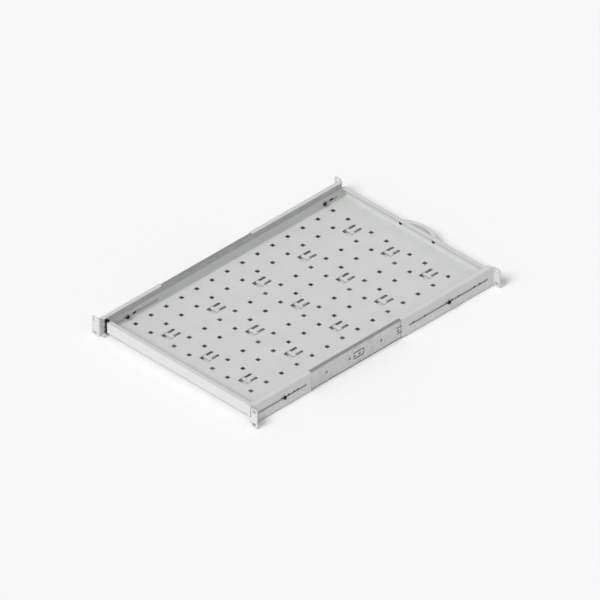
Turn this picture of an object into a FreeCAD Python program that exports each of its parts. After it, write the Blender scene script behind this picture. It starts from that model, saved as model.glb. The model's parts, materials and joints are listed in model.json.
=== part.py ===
import FreeCAD, Part
import math
import os

# A sliding rack shelf: a perforated tray on two telescopic ball slides, carried by four slotted
# brackets with rack ears. Millimetres, +Z up, front towards -Y, right towards +X.
# The origin is the middle of the front rack holes, on the face of the ears that meets the rack.

V = FreeCAD.Vector

# Rack interface
RACK_HOLE_SPAN = 465.1
RACK_HOLE_PITCH = 31.75
RACK_DEPTH = 706.0
EAR_PAST_HOLE = 8.75
EAR_ABOVE_HOLE = 6.125
EAR_CORNER = 4.0
EAR_SLOT_WIDTH = 6.8
EAR_SLOT_LENGTH = 10.4

# Brackets
BRACKET_INSIDE_HOLE = 9.05
BRACKET_SHEET = 2.0
BRACKET_INSIDE_BEND = 1.2
BRACKET_FLANGE = 12.0
FLANGE_CORNER = 5.0
FLANGE_RELIEF = 4.0
FRONT_BRACKET_LENGTH = 269.5
REAR_BRACKET_LENGTH = 172.5
SLOT_SIDE_GAP = 0.3
SLOT_TO_FRONT_EAR = 17.8
SLOT_TO_FRONT_END = 21.5
SLOT_TO_REAR_EAR = 11.0
SLOT_TO_REAR_END = 14.0
FRONT_CLAMP = 132.5
REAR_CLAMP = 94.3
CLAMP_GAP = 0.1

# Telescopic slides
SLIDE_HEIGHT = 42.8
SLIDE_FROM_FRONT = 8.0
SLIDE_FROM_REAR = 14.0
SLIDE_IN_BRACKET_GAP = 0.6
MEMBER_SHEET = 1.2
MEMBER_CORNER = 0.8
BALL_DIAMETER = 3.0
BALL_SIDE_GAP = 0.45
BALL_POCKET_GAP = 0.1
BALLS_PER_RACE = 3
RACE_DEPTH = 0.5
RUN_GAP = 0.3
CAGE_SHEET = 0.4
CAGE_LENGTH = 300.0
BUFFER_LENGTH = 5.5
BUFFER_HEIGHT = 15.0
BUFFER_CORNER = 2.0
MEMBER_HOLE = 6.0
SLIDE_HOLE_DEPTHS = (30.9, 47.5, 191.5, 225.7, 320.0, 412.0, 479.0)
FRONT_CLAMP_HOLE_STEPS = (-30.8, -12.3)
REAR_CLAMP_HOLE_STEPS = (-14.7, -31.7, -41.2)
LANCE_LENGTH = 31.0
LANCE_HEIGHT = 17.0
LANCE_SLIT = 2.4
LANCE_STARTS = (243.0, 370.0)
LANCE_HOLE_INSETS = (13.0, 28.0)

# Tray
TRAY_FROM_REAR = 10.5
TRAY_SHEET = 1.2
TRAY_INSIDE_BEND = 0.9
TRAY_FLOOR_DROP = 12.5
TRAY_WALL_HEIGHT = 23.5
TRAY_RETURN = 12.0
RETURN_CORNER_GAP = 1.0
TRAY_SLOT_GAP = 0.5
TRAY_BOLT_DROP = 2.5
FRONT_TRAY_SLOT_START = 25.0
FRONT_TRAY_SLOT_LENGTH = 43.0
FRONT_BOLT_FROM_SLOT_END = 5.0
REAR_TRAY_SLOT_START = 31.5
REAR_TRAY_SLOT_LENGTH = 117.0
REAR_BOLT_FROM_SLOT_END = 28.0
TRAY_OBLONG_STEP = 21.5
TRAY_OBLONG_LENGTH = 10.0

# Floor perforation: square vents, and windows with a T-shaped strap tab in each
VENT_SIZE = 9.0
VENT_ROW_PITCH = 44.3
VENT_FIRST_ROW = 57.4
VENT_REAR_MARGIN = 50.0
VENT_SIDE_MARGIN = 15.0
VENT_FROM_TAB = 34.0
TAB_COLUMN_PITCH = 112.15
TAB_ROW_PITCH = 132.1
TAB_FIRST_ROW = 79.8
TAB_REAR_MARGIN = 75.0
TAB_WINDOW_WIDTH = 24.0
TAB_WINDOW_LENGTH = 36.6
TAB_STEM_WIDTH = 10.6
TAB_HEAD_LENGTH = 9.0
TAB_MOUTH = 8.6
TAB_KERF = 1.0
TAB_WINDOW_CORNER = 2.2
TAB_HEAD_CORNER = 3.0

# Handle
HANDLE_SCREW_SPAN = 96.0
HANDLE_REACH = 24.5
HANDLE_HEIGHT = 10.0
HANDLE_FOOT_WIDTH = 20.5
HANDLE_BAND = 6.0
HANDLE_EDGE = 2.0

# Fasteners
CLAMP_SCREW = 5.0
CLAMP_HEAD = 9.0
CLAMP_HEAD_HEIGHT = 3.2
WASHER_DIAMETER = 10.5
WASHER_THICKNESS = 1.0
WASHER_BORE_GAP = 0.15
TRAY_BOLT = 5.0
TRAY_BOLT_HEAD = 9.0
TRAY_BOLT_HEAD_HEIGHT = 3.2
TRAY_NUT_FLATS = 8.0
TRAY_NUT_HEIGHT = 2.7
TRAY_BOLT_OVER_NUT = 0.6
HANDLE_SCREW = 4.0
HANDLE_SCREW_HEAD = 7.5
HANDLE_SCREW_HEAD_HEIGHT = 2.6
HANDLE_SCREW_DEPTH = 5.0
HEAD_BEVEL = 1.0
HOLE_GAP = 0.25

# Places that follow from the sizes above, on the right-hand side
RACK_HOLE_X = RACK_HOLE_SPAN / 2
EAR_TIP_X = RACK_HOLE_X + EAR_PAST_HOLE
EAR_HALF = RACK_HOLE_PITCH / 2 + EAR_ABOVE_HOLE
BRACKET_X = RACK_HOLE_X - BRACKET_INSIDE_HOLE
BRACKET_INSIDE_X = BRACKET_X - BRACKET_SHEET
BRACKET_HALF = SLIDE_HEIGHT / 2 + SLIDE_IN_BRACKET_GAP + BRACKET_SHEET
BRACKET_BEND = BRACKET_SHEET + BRACKET_INSIDE_BEND
BRACKET_SLOT = CLAMP_SCREW + 2 * SLOT_SIDE_GAP
SLIDE_REAR_Y = RACK_DEPTH - SLIDE_FROM_REAR
MOVING_REAR_Y = SLIDE_REAR_Y - BUFFER_LENGTH - RUN_GAP
TRAY_FRONT_Y = -BRACKET_SHEET
TRAY_REAR_Y = RACK_DEPTH - TRAY_FROM_REAR
TRAY_FLOOR_Z = -TRAY_FLOOR_DROP
TRAY_RIM_Z = TRAY_FLOOR_Z + TRAY_WALL_HEIGHT
TRAY_UNDER_Z = TRAY_FLOOR_Z - TRAY_SHEET
TRAY_BEND = TRAY_SHEET + TRAY_INSIDE_BEND
TRAY_SLOT = TRAY_BOLT + 2 * TRAY_SLOT_GAP
TRAY_BOLT_Z = -TRAY_BOLT_DROP
HANDLE_Z = (TRAY_RIM_Z - TRAY_SHEET + TRAY_FLOOR_Z) / 2

# The slide's nest of members, from the bracket inwards to the tray's wall
CAGE_SPACE = 2 * RUN_GAP + CAGE_SHEET
SLIDE_BACK_X = BRACKET_INSIDE_X - CLAMP_GAP
OUTER_WEB_X = SLIDE_BACK_X - MEMBER_SHEET
MIDDLE_BACK_X = OUTER_WEB_X - CAGE_SPACE
MIDDLE_WEB_X = MIDDLE_BACK_X - MEMBER_SHEET
INNER_TIP_X = MIDDLE_WEB_X - CAGE_SPACE
LIP_INSIDE_X = INNER_TIP_X - BALL_DIAMETER - 2 * BALL_SIDE_GAP
LIP_X = LIP_INSIDE_X - MEMBER_SHEET
TRAY_X = LIP_X - RUN_GAP
TRAY_INSIDE_X = TRAY_X - TRAY_SHEET
INNER_WEB_X = TRAY_X + MEMBER_SHEET
OUTER_BALL_X = (LIP_INSIDE_X + MIDDLE_BACK_X) / 2
INNER_BALL_X = (LIP_INSIDE_X + INNER_TIP_X) / 2

# The same nest in height, from the outer member's edge to the inner member's, and in depth
RACE_RADIUS = BALL_DIAMETER / 2 + RUN_GAP
RACE_STEP = RACE_RADIUS - RACE_DEPTH
OUTER_HALF = SLIDE_HEIGHT / 2
OUTER_BALL_Z = OUTER_HALF - MEMBER_SHEET - RACE_STEP
MIDDLE_HALF = OUTER_BALL_Z - RACE_STEP
INNER_BALL_Z = MIDDLE_HALF - MEMBER_SHEET - RACE_STEP
INNER_HALF = INNER_BALL_Z - RACE_STEP
CAGE_FRONT_Y = (SLIDE_FROM_FRONT + MOVING_REAR_Y - CAGE_LENGTH) / 2


def place(along, a, b, c):
    """A point at c along one axis, with a and b on the two other axes in their order."""
    return {"X": V(c, a, b), "Y": V(a, c, b), "Z": V(a, b, c)}[along]


def unit(vector):
    return vector * (1 / vector.Length)


def outline(corners, along, level):
    """A closed wire through corners (a, b, radius) in the plane across an axis."""
    stations = []
    for index, (a, b, radius) in enumerate(corners):
        corner = place(along, a, b, level)
        last = place(along, *corners[index - 1][:2], level)
        following = place(along, *corners[(index + 1) % len(corners)][:2], level)
        if radius == 0:
            stations.append((corner, corner, corner))
            continue
        back, ahead = unit(last - corner), unit(following - corner)
        half = back.getAngle(ahead) / 2
        reach = radius / math.tan(half)
        middle = corner + unit(back + ahead) * (radius / math.sin(half) - radius)
        stations.append((corner + back * reach, middle, corner + ahead * reach))
    edges = []
    for index, (start, middle, end) in enumerate(stations):
        if not start.isEqual(end, 1e-6):
            edges.append(Part.Arc(start, middle, end).toShape())
        following = stations[(index + 1) % len(stations)][0]
        if not end.isEqual(following, 1e-6):
            edges.append(Part.LineSegment(end, following).toShape())
    return Part.Wire(edges)


def prism(corners, along, start, stop):
    """A solid of the given outline, from start to stop along an axis."""
    face = Part.Face(outline(corners, along, start))
    return face.extrude(place(along, 0, 0, stop - start))


def rectangle(a_low, a_high, b_low, b_high, radius=0):
    return [(a_low, b_low, radius), (a_high, b_low, radius),
            (a_high, b_high, radius), (a_low, b_high, radius)]


def oblong(start, stop, width, height=0):
    """Corners of a slot with round ends, at a height from the slides' middle."""
    return rectangle(start, stop, height - width / 2, height + width / 2, width / 2)


def rod(along, a, b, start, stop, diameter):
    """A cylinder from start to stop along an axis."""
    direction = place(along, 0, 0, 1)
    return Part.makeCylinder(diameter / 2, stop - start, place(along, a, b, start), direction)


def mirrored(shape):
    """The left-hand twin of a right-hand shape."""
    return shape.mirror(V(0, 0, 0), V(1, 0, 0))


def turned_about_x(profile, y, z):
    """A turned solid on an axis along X; the profile's corners are (x, distance from axis, radius)."""
    face = Part.Face(outline(profile, "Z", 0))
    solid = face.revolve(V(0, 0, 0), V(1, 0, 0), 360)
    solid.translate(V(0, y, z))
    return solid


def pan_screw(tip_x, seat_x, diameter, head, head_height):
    """Corners of a pan-head screw along X, from its tip to the top of its bevelled head."""
    outwards = math.copysign(1, seat_x - tip_x)
    top_x = seat_x + outwards * head_height
    return [(tip_x, 0, 0), (tip_x, diameter / 2, 0), (seat_x, diameter / 2, 0), (seat_x, head / 2, 0),
            (top_x - outwards * HEAD_BEVEL, head / 2, 0), (top_x, head / 2 - HEAD_BEVEL, 0), (top_x, 0, 0)]


def washer(start_x, stop_x, bolt, y, z):
    ring = rod("X", y, z, start_x, stop_x, WASHER_DIAMETER)
    return ring.cut(rod("X", y, z, start_x, stop_x, bolt + 2 * WASHER_BORE_GAP))


# Brackets

def bracket_channel(length):
    """The C-shaped rail, its open side towards the tray, with rounded ends on its flanges."""
    half, inside = BRACKET_HALF, BRACKET_HALF - BRACKET_SHEET
    edge_x = BRACKET_X - BRACKET_FLANGE
    section = [(edge_x, half, 0), (BRACKET_X, half, BRACKET_BEND), (BRACKET_X, -half, BRACKET_BEND),
               (edge_x, -half, 0), (edge_x, -inside, 0), (BRACKET_INSIDE_X, -inside, BRACKET_INSIDE_BEND),
               (BRACKET_INSIDE_X, inside, BRACKET_INSIDE_BEND), (edge_x, inside, 0)]
    channel = prism(section, "Y", FLANGE_RELIEF, length)
    plan = [(BRACKET_X, FLANGE_RELIEF, 0), (BRACKET_X, length, 0),
            (edge_x, length, FLANGE_CORNER), (edge_x, FLANGE_RELIEF, FLANGE_CORNER)]
    return channel.common(prism(plan, "Z", -half, half))


def bracket_ear():
    """The ear, bent outwards from the front of the side plate, with its two rack slots."""
    bend = [(BRACKET_INSIDE_X, FLANGE_RELIEF, 0), (BRACKET_INSIDE_X, -BRACKET_SHEET, BRACKET_BEND),
            (EAR_TIP_X, -BRACKET_SHEET, 0), (EAR_TIP_X, 0, 0),
            (BRACKET_X, 0, BRACKET_INSIDE_BEND), (BRACKET_X, FLANGE_RELIEF, 0)]
    ear = prism(bend, "Z", -EAR_HALF, EAR_HALF)
    front = [(BRACKET_INSIDE_X, -EAR_HALF, 0), (EAR_TIP_X, -EAR_HALF, EAR_CORNER),
             (EAR_TIP_X, EAR_HALF, EAR_CORNER), (BRACKET_INSIDE_X, EAR_HALF, 0)]
    ear = ear.common(prism(front, "Y", -BRACKET_SHEET, FLANGE_RELIEF))
    for z in (-RACK_HOLE_PITCH / 2, RACK_HOLE_PITCH / 2):
        slot = rectangle(RACK_HOLE_X - EAR_SLOT_LENGTH / 2, RACK_HOLE_X + EAR_SLOT_LENGTH / 2,
                         z - EAR_SLOT_WIDTH / 2, z + EAR_SLOT_WIDTH / 2, EAR_SLOT_WIDTH / 2)
        ear = ear.cut(prism(slot, "Y", -BRACKET_SHEET, 0))
    return ear


def bracket(length, slot_to_ear, slot_to_end):
    """A right-hand bracket running back from an ear at the origin's depth."""
    body = bracket_channel(length).fuse(bracket_ear())
    slot = oblong(slot_to_ear, length - slot_to_end, BRACKET_SLOT)
    return body.cut(prism(slot, "X", BRACKET_INSIDE_X, BRACKET_X)).removeSplitter()


def facing_rear(shape):
    """The same bracket turned end for end, with its ear on the rear post."""
    return shape.mirror(V(0, RACK_DEPTH / 2, 0), V(0, 1, 0))


# Telescopic slides

def channel_member(back_x, half, lip_z, rear_y):
    """A slide channel open towards the tray, with lips that keep the balls in."""
    corner = MEMBER_CORNER
    upper = [(LIP_X, half, corner), (LIP_X, lip_z, 0), (LIP_INSIDE_X, lip_z, 0),
             (LIP_INSIDE_X, half - MEMBER_SHEET, 0), (back_x - MEMBER_SHEET, half - MEMBER_SHEET, 0)]
    lower = [(x, -z, radius) for x, z, radius in reversed(upper)]
    section = upper + lower + [(back_x, -half, corner), (back_x, half, corner)]
    return prism(section, "Y", SLIDE_FROM_FRONT, rear_y)


def races(ball_x, ball_z, rear_y):
    """The grooves that a row of balls runs in, above and below."""
    return Part.makeCompound([rod("Y", ball_x, side * ball_z, SLIDE_FROM_FRONT, rear_y,
                                  2 * RACE_RADIUS) for side in (1, -1)])


def clamp_depths():
    return (FRONT_CLAMP, RACK_DEPTH - REAR_CLAMP)


def member_holes():
    """Screw holes along the outer member and the U-shaped slits of its lanced tongues."""
    web = (OUTER_WEB_X, SLIDE_BACK_X)
    front_clamp, rear_clamp = clamp_depths()
    depths = [SLIDE_FROM_FRONT + depth for depth in SLIDE_HOLE_DEPTHS]
    depths += [front_clamp + step for step in FRONT_CLAMP_HOLE_STEPS]
    depths += [rear_clamp + step for step in REAR_CLAMP_HOLE_STEPS]
    tools = [rod("X", y, 0, *web, MEMBER_HOLE) for y in depths]
    half = LANCE_HEIGHT / 2
    for start in LANCE_STARTS:
        front_y = SLIDE_FROM_FRONT + start
        rear_y = front_y + LANCE_LENGTH
        slit = [(front_y, -half, LANCE_SLIT), (rear_y, -half, 0), (rear_y, -half + LANCE_SLIT, 0),
                (front_y + LANCE_SLIT, -half + LANCE_SLIT, 0),
                (front_y + LANCE_SLIT, half - LANCE_SLIT, 0), (rear_y, half - LANCE_SLIT, 0),
                (rear_y, half, 0), (front_y, half, LANCE_SLIT)]
        tools.append(prism(slit, "X", *web))
        tools += [rod("X", front_y + inset, 0, *web, MEMBER_HOLE) for inset in LANCE_HOLE_INSETS]
    return tools


def outer_member():
    member = channel_member(SLIDE_BACK_X, OUTER_HALF, MIDDLE_HALF + RUN_GAP, SLIDE_REAR_Y)
    member = member.cut(races(OUTER_BALL_X, OUTER_BALL_Z, SLIDE_REAR_Y))
    tapped = [rod("X", y, 0, OUTER_WEB_X, SLIDE_BACK_X, CLAMP_SCREW) for y in clamp_depths()]
    return member.cut(Part.makeCompound(member_holes() + tapped))


def middle_member():
    member = channel_member(MIDDLE_BACK_X, MIDDLE_HALF, INNER_HALF + RUN_GAP, MOVING_REAR_Y)
    member = member.cut(races(OUTER_BALL_X, OUTER_BALL_Z, MOVING_REAR_Y))
    return member.cut(races(INNER_BALL_X, INNER_BALL_Z, MOVING_REAR_Y))


def tray_slots():
    """Start and end of the front and the rear slot in each side wall of the tray."""
    front = TRAY_FRONT_Y + FRONT_TRAY_SLOT_START
    rear = TRAY_REAR_Y - REAR_TRAY_SLOT_START
    return ((front, front + FRONT_TRAY_SLOT_LENGTH), (rear - REAR_TRAY_SLOT_LENGTH, rear))


def bolt_depths():
    front_slot, rear_slot = tray_slots()
    return (front_slot[1] - FRONT_BOLT_FROM_SLOT_END, rear_slot[1] - REAR_BOLT_FROM_SLOT_END)


def inner_member():
    """The member bolted to the tray: a channel open outwards, with oblong holes beside its bolts."""
    half, inside = INNER_HALF, INNER_HALF - MEMBER_SHEET
    section = [(TRAY_X, -half, MEMBER_CORNER), (INNER_TIP_X, -half, 0), (INNER_TIP_X, -inside, 0),
               (INNER_WEB_X, -inside, 0), (INNER_WEB_X, inside, 0), (INNER_TIP_X, inside, 0),
               (INNER_TIP_X, half, 0), (TRAY_X, half, MEMBER_CORNER)]
    member = prism(section, "Y", SLIDE_FROM_FRONT, MOVING_REAR_Y)
    member = member.cut(races(INNER_BALL_X, INNER_BALL_Z, MOVING_REAR_Y))
    tools = []
    for y in bolt_depths():
        tools.append(rod("X", y, TRAY_BOLT_Z, TRAY_X, INNER_WEB_X, TRAY_BOLT + 2 * HOLE_GAP))
        start = y - TRAY_OBLONG_STEP - TRAY_OBLONG_LENGTH / 2
        hole = oblong(start, start + TRAY_OBLONG_LENGTH, TRAY_SLOT, TRAY_BOLT_Z)
        tools.append(prism(hole, "X", TRAY_X, INNER_WEB_X))
    return member.cut(Part.makeCompound(tools))


def ball_depths():
    pitch = CAGE_LENGTH / BALLS_PER_RACE
    return [CAGE_FRONT_Y + pitch * (number + 0.5) for number in range(BALLS_PER_RACE)]


def ball_cage(back_x, ball_x, ball_z):
    """A thin U-shaped strip that spaces the balls of an upper and a lower race."""
    web_x = back_x - CAGE_SHEET
    tip_x = LIP_INSIDE_X + RUN_GAP
    high, low = ball_z + CAGE_SHEET / 2, ball_z - CAGE_SHEET / 2
    section = [(back_x, -high, 0), (back_x, high, 0), (tip_x, high, 0), (tip_x, low, 0),
               (web_x, low, 0), (web_x, -low, 0), (tip_x, -low, 0), (tip_x, -high, 0)]
    cage = prism(section, "Y", CAGE_FRONT_Y, CAGE_FRONT_Y + CAGE_LENGTH)
    pocket = BALL_DIAMETER + 2 * BALL_POCKET_GAP
    pockets = [rod("Z", ball_x, y, side - CAGE_SHEET, side + CAGE_SHEET, pocket)
               for y in ball_depths() for side in (ball_z, -ball_z)]
    return cage.cut(Part.makeCompound(pockets))


def balls(ball_x, ball_z):
    return Part.makeCompound([Part.makeSphere(BALL_DIAMETER / 2, V(ball_x, y, z))
                              for y in ball_depths() for z in (ball_z, -ball_z)])


def slide_buffer():
    """The soft block at the rear of the outer member that the moving members close against."""
    plan = [(LIP_X, SLIDE_REAR_Y - BUFFER_LENGTH, BUFFER_CORNER), (LIP_X, SLIDE_REAR_Y, 0),
            (OUTER_WEB_X, SLIDE_REAR_Y, 0), (OUTER_WEB_X, SLIDE_REAR_Y - BUFFER_LENGTH, 0)]
    return prism(plan, "Z", -BUFFER_HEIGHT / 2, BUFFER_HEIGHT / 2)


# Tray

def row_depths(first, pitch, rear_margin):
    """Depths of evenly spaced rows, from the first row back to a margin at the tray's rear."""
    first_y = TRAY_FRONT_Y + first
    count = int((TRAY_REAR_Y - rear_margin - first_y) // pitch) + 1
    return [first_y + row * pitch for row in range(count)]


def vent_columns():
    """Columns on both sides of each column of strap tabs, out to a margin at the tray's walls."""
    tabs = [number * TAB_COLUMN_PITCH for number in range(-2, 3)]
    columns = [x + side * VENT_FROM_TAB for x in tabs for side in (-1, 1)]
    return [x for x in columns if abs(x) < TRAY_X - VENT_SIDE_MARGIN]


def vent_outlines():
    half = VENT_SIZE / 2
    for y in row_depths(VENT_FIRST_ROW, VENT_ROW_PITCH, VENT_REAR_MARGIN):
        for x in vent_columns():
            yield rectangle(x - half, x + half, y - half, y + half)


def tab_window(x, middle_y):
    """The cut round one strap tab: a mouth at the rear, a kerf round its head, a slot each side."""
    half = TAB_WINDOW_WIDTH / 2
    stem = TAB_STEM_WIDTH / 2
    head = half - TAB_KERF
    rear = middle_y + TAB_WINDOW_LENGTH / 2
    front = middle_y - TAB_WINDOW_LENGTH / 2
    tip = rear - TAB_MOUTH
    shoulder = tip - TAB_HEAD_LENGTH
    corner = TAB_WINDOW_CORNER
    right = [(head, tip, TAB_HEAD_CORNER), (head, shoulder, 0), (stem, shoulder, 0),
             (stem, front, corner), (half, front, corner), (half, rear, corner)]
    left = [(-dx, y, radius) for dx, y, radius in reversed(right)]
    return [(x + dx, y, radius) for dx, y, radius in right + left]


def tab_outlines():
    for middle_y in row_depths(TAB_FIRST_ROW, TAB_ROW_PITCH, TAB_REAR_MARGIN):
        for x in (-TAB_COLUMN_PITCH, 0, TAB_COLUMN_PITCH):
            yield tab_window(x, middle_y)


def tray_floor():
    """The flat of the floor between its four bends, with every vent and tab window in it."""
    edge = TRAY_X - TRAY_BEND
    rim = rectangle(-edge, edge, TRAY_FRONT_Y + TRAY_BEND, TRAY_REAR_Y - TRAY_BEND)
    wires = [outline(rim, "Z", TRAY_UNDER_Z)]
    wires += [outline(cut, "Z", TRAY_UNDER_Z) for cut in vent_outlines()]
    wires += [outline(cut, "Z", TRAY_UNDER_Z) for cut in tab_outlines()]
    face = Part.makeFace(wires, "Part::FaceMakerBullseye")
    return face.extrude(V(0, 0, TRAY_SHEET))


def tray_end_wall(end_y, inwards):
    """A front or rear wall with its bend to the floor and its return flange at the rim."""
    inside = TRAY_INSIDE_BEND
    face_y = end_y + inwards * TRAY_SHEET
    return_y = end_y + inwards * TRAY_RETURN
    floor_y = end_y + inwards * TRAY_BEND
    under_rim = TRAY_RIM_Z - TRAY_SHEET
    section = [(floor_y, TRAY_UNDER_Z, 0), (end_y, TRAY_UNDER_Z, TRAY_BEND),
               (end_y, TRAY_RIM_Z, TRAY_BEND), (return_y, TRAY_RIM_Z, 0), (return_y, under_rim, 0),
               (face_y, under_rim, inside), (face_y, TRAY_FLOOR_Z, inside), (floor_y, TRAY_FLOOR_Z, 0)]
    reach = TRAY_INSIDE_X - RETURN_CORNER_GAP
    wall = prism(section, "X", -reach, reach)
    floor_edge = TRAY_X - TRAY_BEND
    spare_z = (TRAY_UNDER_Z, TRAY_FLOOR_Z + inside)
    low_y, high_y = sorted((end_y, floor_y))
    for side in (-1, 1):
        corner_x = sorted((side * floor_edge, side * reach))
        relief = rectangle(*corner_x, low_y, high_y)
        wall = wall.cut(prism(relief, "Z", *spare_z))
    return wall


def tray_side_wall():
    """The right-hand wall, bent up from the floor, with the slots for the slide's bolts."""
    floor_x = TRAY_X - TRAY_BEND
    section = [(floor_x, TRAY_UNDER_Z, 0), (TRAY_X, TRAY_UNDER_Z, TRAY_BEND), (TRAY_X, TRAY_RIM_Z, 0),
               (TRAY_INSIDE_X, TRAY_RIM_Z, 0), (TRAY_INSIDE_X, TRAY_FLOOR_Z, TRAY_INSIDE_BEND),
               (floor_x, TRAY_FLOOR_Z, 0)]
    wall = prism(section, "Y", TRAY_FRONT_Y + TRAY_BEND, TRAY_REAR_Y - TRAY_BEND)
    for start, stop in tray_slots():
        slot = oblong(start, stop, TRAY_SLOT, TRAY_BOLT_Z)
        wall = wall.cut(prism(slot, "X", TRAY_INSIDE_X, TRAY_X))
    return wall


def tray():
    front = tray_end_wall(TRAY_FRONT_Y, 1)
    hole = HANDLE_SCREW + 2 * HOLE_GAP
    for x in (-HANDLE_SCREW_SPAN / 2, HANDLE_SCREW_SPAN / 2):
        front = front.cut(rod("Y", x, HANDLE_Z, TRAY_FRONT_Y, TRAY_FRONT_Y + TRAY_SHEET, hole))
    side = tray_side_wall()
    walls = [front, tray_end_wall(TRAY_REAR_Y, -1), side, mirrored(side)]
    return tray_floor().fuse(walls).removeSplitter()


# Handle and fasteners

def handle():
    """A bow handle: a curved grip that widens into a flat foot at each screw."""
    outer_x = HANDLE_SCREW_SPAN / 2 + HANDLE_FOOT_WIDTH / 2
    inner_x = HANDLE_SCREW_SPAN / 2 - HANDLE_FOOT_WIDTH / 2
    wall_y = TRAY_FRONT_Y
    grip_y = wall_y - HANDLE_REACH
    low_z = HANDLE_Z - HANDLE_HEIGHT / 2
    bow = Part.Arc(V(-outer_x, wall_y, low_z), V(0, grip_y, low_z), V(outer_x, wall_y, low_z))
    hollow = Part.Arc(V(-inner_x, wall_y, low_z), V(0, grip_y + HANDLE_BAND, low_z),
                      V(inner_x, wall_y, low_z))
    feet = [Part.LineSegment(V(side * outer_x, wall_y, low_z), V(side * inner_x, wall_y, low_z))
            for side in (-1, 1)]
    edges = Part.__sortEdges__([curve.toShape() for curve in (bow, hollow, *feet)])
    grip = Part.Face(Part.Wire(edges)).extrude(V(0, 0, HANDLE_HEIGHT))
    rims = [edge for edge in grip.Edges if edge.Curve.TypeId == "Part::GeomCircle"]
    grip = grip.makeFillet(HANDLE_EDGE, rims)
    for x in (-HANDLE_SCREW_SPAN / 2, HANDLE_SCREW_SPAN / 2):
        grip = grip.cut(rod("Y", x, HANDLE_Z, wall_y - HANDLE_SCREW_DEPTH, wall_y, HANDLE_SCREW))
    return grip


def handle_screws():
    """Two screws from inside the front wall into the feet of the handle."""
    seat_y = TRAY_FRONT_Y + TRAY_SHEET
    tip_y = TRAY_FRONT_Y - HANDLE_SCREW_DEPTH
    profile = pan_screw(tip_y, seat_y, HANDLE_SCREW, HANDLE_SCREW_HEAD, HANDLE_SCREW_HEAD_HEIGHT)
    screw = turned_about_x(profile, 0, 0)
    screw.rotate(V(0, 0, 0), V(0, 0, 1), 90)
    screws = []
    for x in (-HANDLE_SCREW_SPAN / 2, HANDLE_SCREW_SPAN / 2):
        copy = screw.copy()
        copy.translate(V(x, 0, HANDLE_Z))
        screws.append(copy)
    return Part.makeCompound(screws)


def pair(shape):
    """A right-hand piece and its left-hand twin, as separate solids of one group."""
    return Part.makeCompound([shape, mirrored(shape)])


def clamp_screw(y):
    seat_x = BRACKET_X + CLAMP_GAP + WASHER_THICKNESS
    profile = pan_screw(OUTER_WEB_X, seat_x, CLAMP_SCREW, CLAMP_HEAD, CLAMP_HEAD_HEIGHT)
    return turned_about_x(profile, y, 0)


def clamp_washer(y):
    seat_x = BRACKET_X + CLAMP_GAP
    return washer(seat_x, seat_x + WASHER_THICKNESS, CLAMP_SCREW, y, 0)


def tray_bolts():
    """Bolts from inside the tray, through the slots in its walls, into the inner members."""
    seat_x = TRAY_INSIDE_X - WASHER_THICKNESS
    tip_x = INNER_WEB_X + TRAY_NUT_HEIGHT + TRAY_BOLT_OVER_NUT
    profile = pan_screw(tip_x, seat_x, TRAY_BOLT, TRAY_BOLT_HEAD, TRAY_BOLT_HEAD_HEIGHT)
    bolts = [turned_about_x(profile, y, TRAY_BOLT_Z) for y in bolt_depths()]
    return Part.makeCompound(bolts + [mirrored(bolt) for bolt in bolts])


def tray_washers():
    start_x = TRAY_INSIDE_X - WASHER_THICKNESS
    rings = [washer(start_x, TRAY_INSIDE_X, TRAY_BOLT, y, TRAY_BOLT_Z) for y in bolt_depths()]
    return Part.makeCompound(rings + [mirrored(ring) for ring in rings])


def tray_nuts():
    radius = TRAY_NUT_FLATS / math.sqrt(3)
    nuts = []
    for y in bolt_depths():
        angles = [math.radians(60 * number) for number in range(6)]
        hexagon = [(y + radius * math.sin(a), TRAY_BOLT_Z + radius * math.cos(a), 0) for a in angles]
        nut = prism(hexagon, "X", INNER_WEB_X, INNER_WEB_X + TRAY_NUT_HEIGHT)
        bore = rod("X", y, TRAY_BOLT_Z, INNER_WEB_X, INNER_WEB_X + TRAY_NUT_HEIGHT, TRAY_BOLT)
        nuts.append(nut.cut(bore))
    return Part.makeCompound(nuts + [mirrored(nut) for nut in nuts])


def both_sides(name, shape):
    return {name + "_right": shape, name + "_left": mirrored(shape)}


def shelf():
    """Every piece of the shelf by its node's name."""
    front_clamp, rear_clamp = clamp_depths()
    front = bracket(FRONT_BRACKET_LENGTH, SLOT_TO_FRONT_EAR, SLOT_TO_FRONT_END)
    rear = facing_rear(bracket(REAR_BRACKET_LENGTH, SLOT_TO_REAR_EAR, SLOT_TO_REAR_END))
    pieces = {"tray": tray(), "handle": handle(), "handle_screws": handle_screws(),
              "tray_bolts": tray_bolts(), "tray_washers": tray_washers(), "tray_nuts": tray_nuts(),
              "front_clamp_screws": pair(clamp_screw(front_clamp)),
              "front_clamp_washers": pair(clamp_washer(front_clamp)),
              "rear_clamp_screws": pair(clamp_screw(rear_clamp)),
              "rear_clamp_washers": pair(clamp_washer(rear_clamp))}
    sided = {"front_bracket": front, "rear_bracket": rear, "outer_member": outer_member(),
             "middle_member": middle_member(), "inner_member": inner_member(),
             "outer_cage": ball_cage(OUTER_WEB_X - RUN_GAP, OUTER_BALL_X, OUTER_BALL_Z),
             "inner_cage": ball_cage(MIDDLE_WEB_X - RUN_GAP, INNER_BALL_X, INNER_BALL_Z),
             "outer_balls": balls(OUTER_BALL_X, OUTER_BALL_Z),
             "inner_balls": balls(INNER_BALL_X, INNER_BALL_Z), "slide_buffer": slide_buffer()}
    for name, shape in sided.items():
        pieces.update(both_sides(name, shape))
    return pieces


def main():
    os.makedirs("parts", exist_ok=True)
    for name, shape in shelf().items():
        shape.exportStep(f"parts/{name}.step")


main()
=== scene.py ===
"""Finishes, fixings and ball rows of a sliding rack shelf, set around its packed parts, in metres."""

import json
import math
from contextlib import contextmanager

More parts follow.
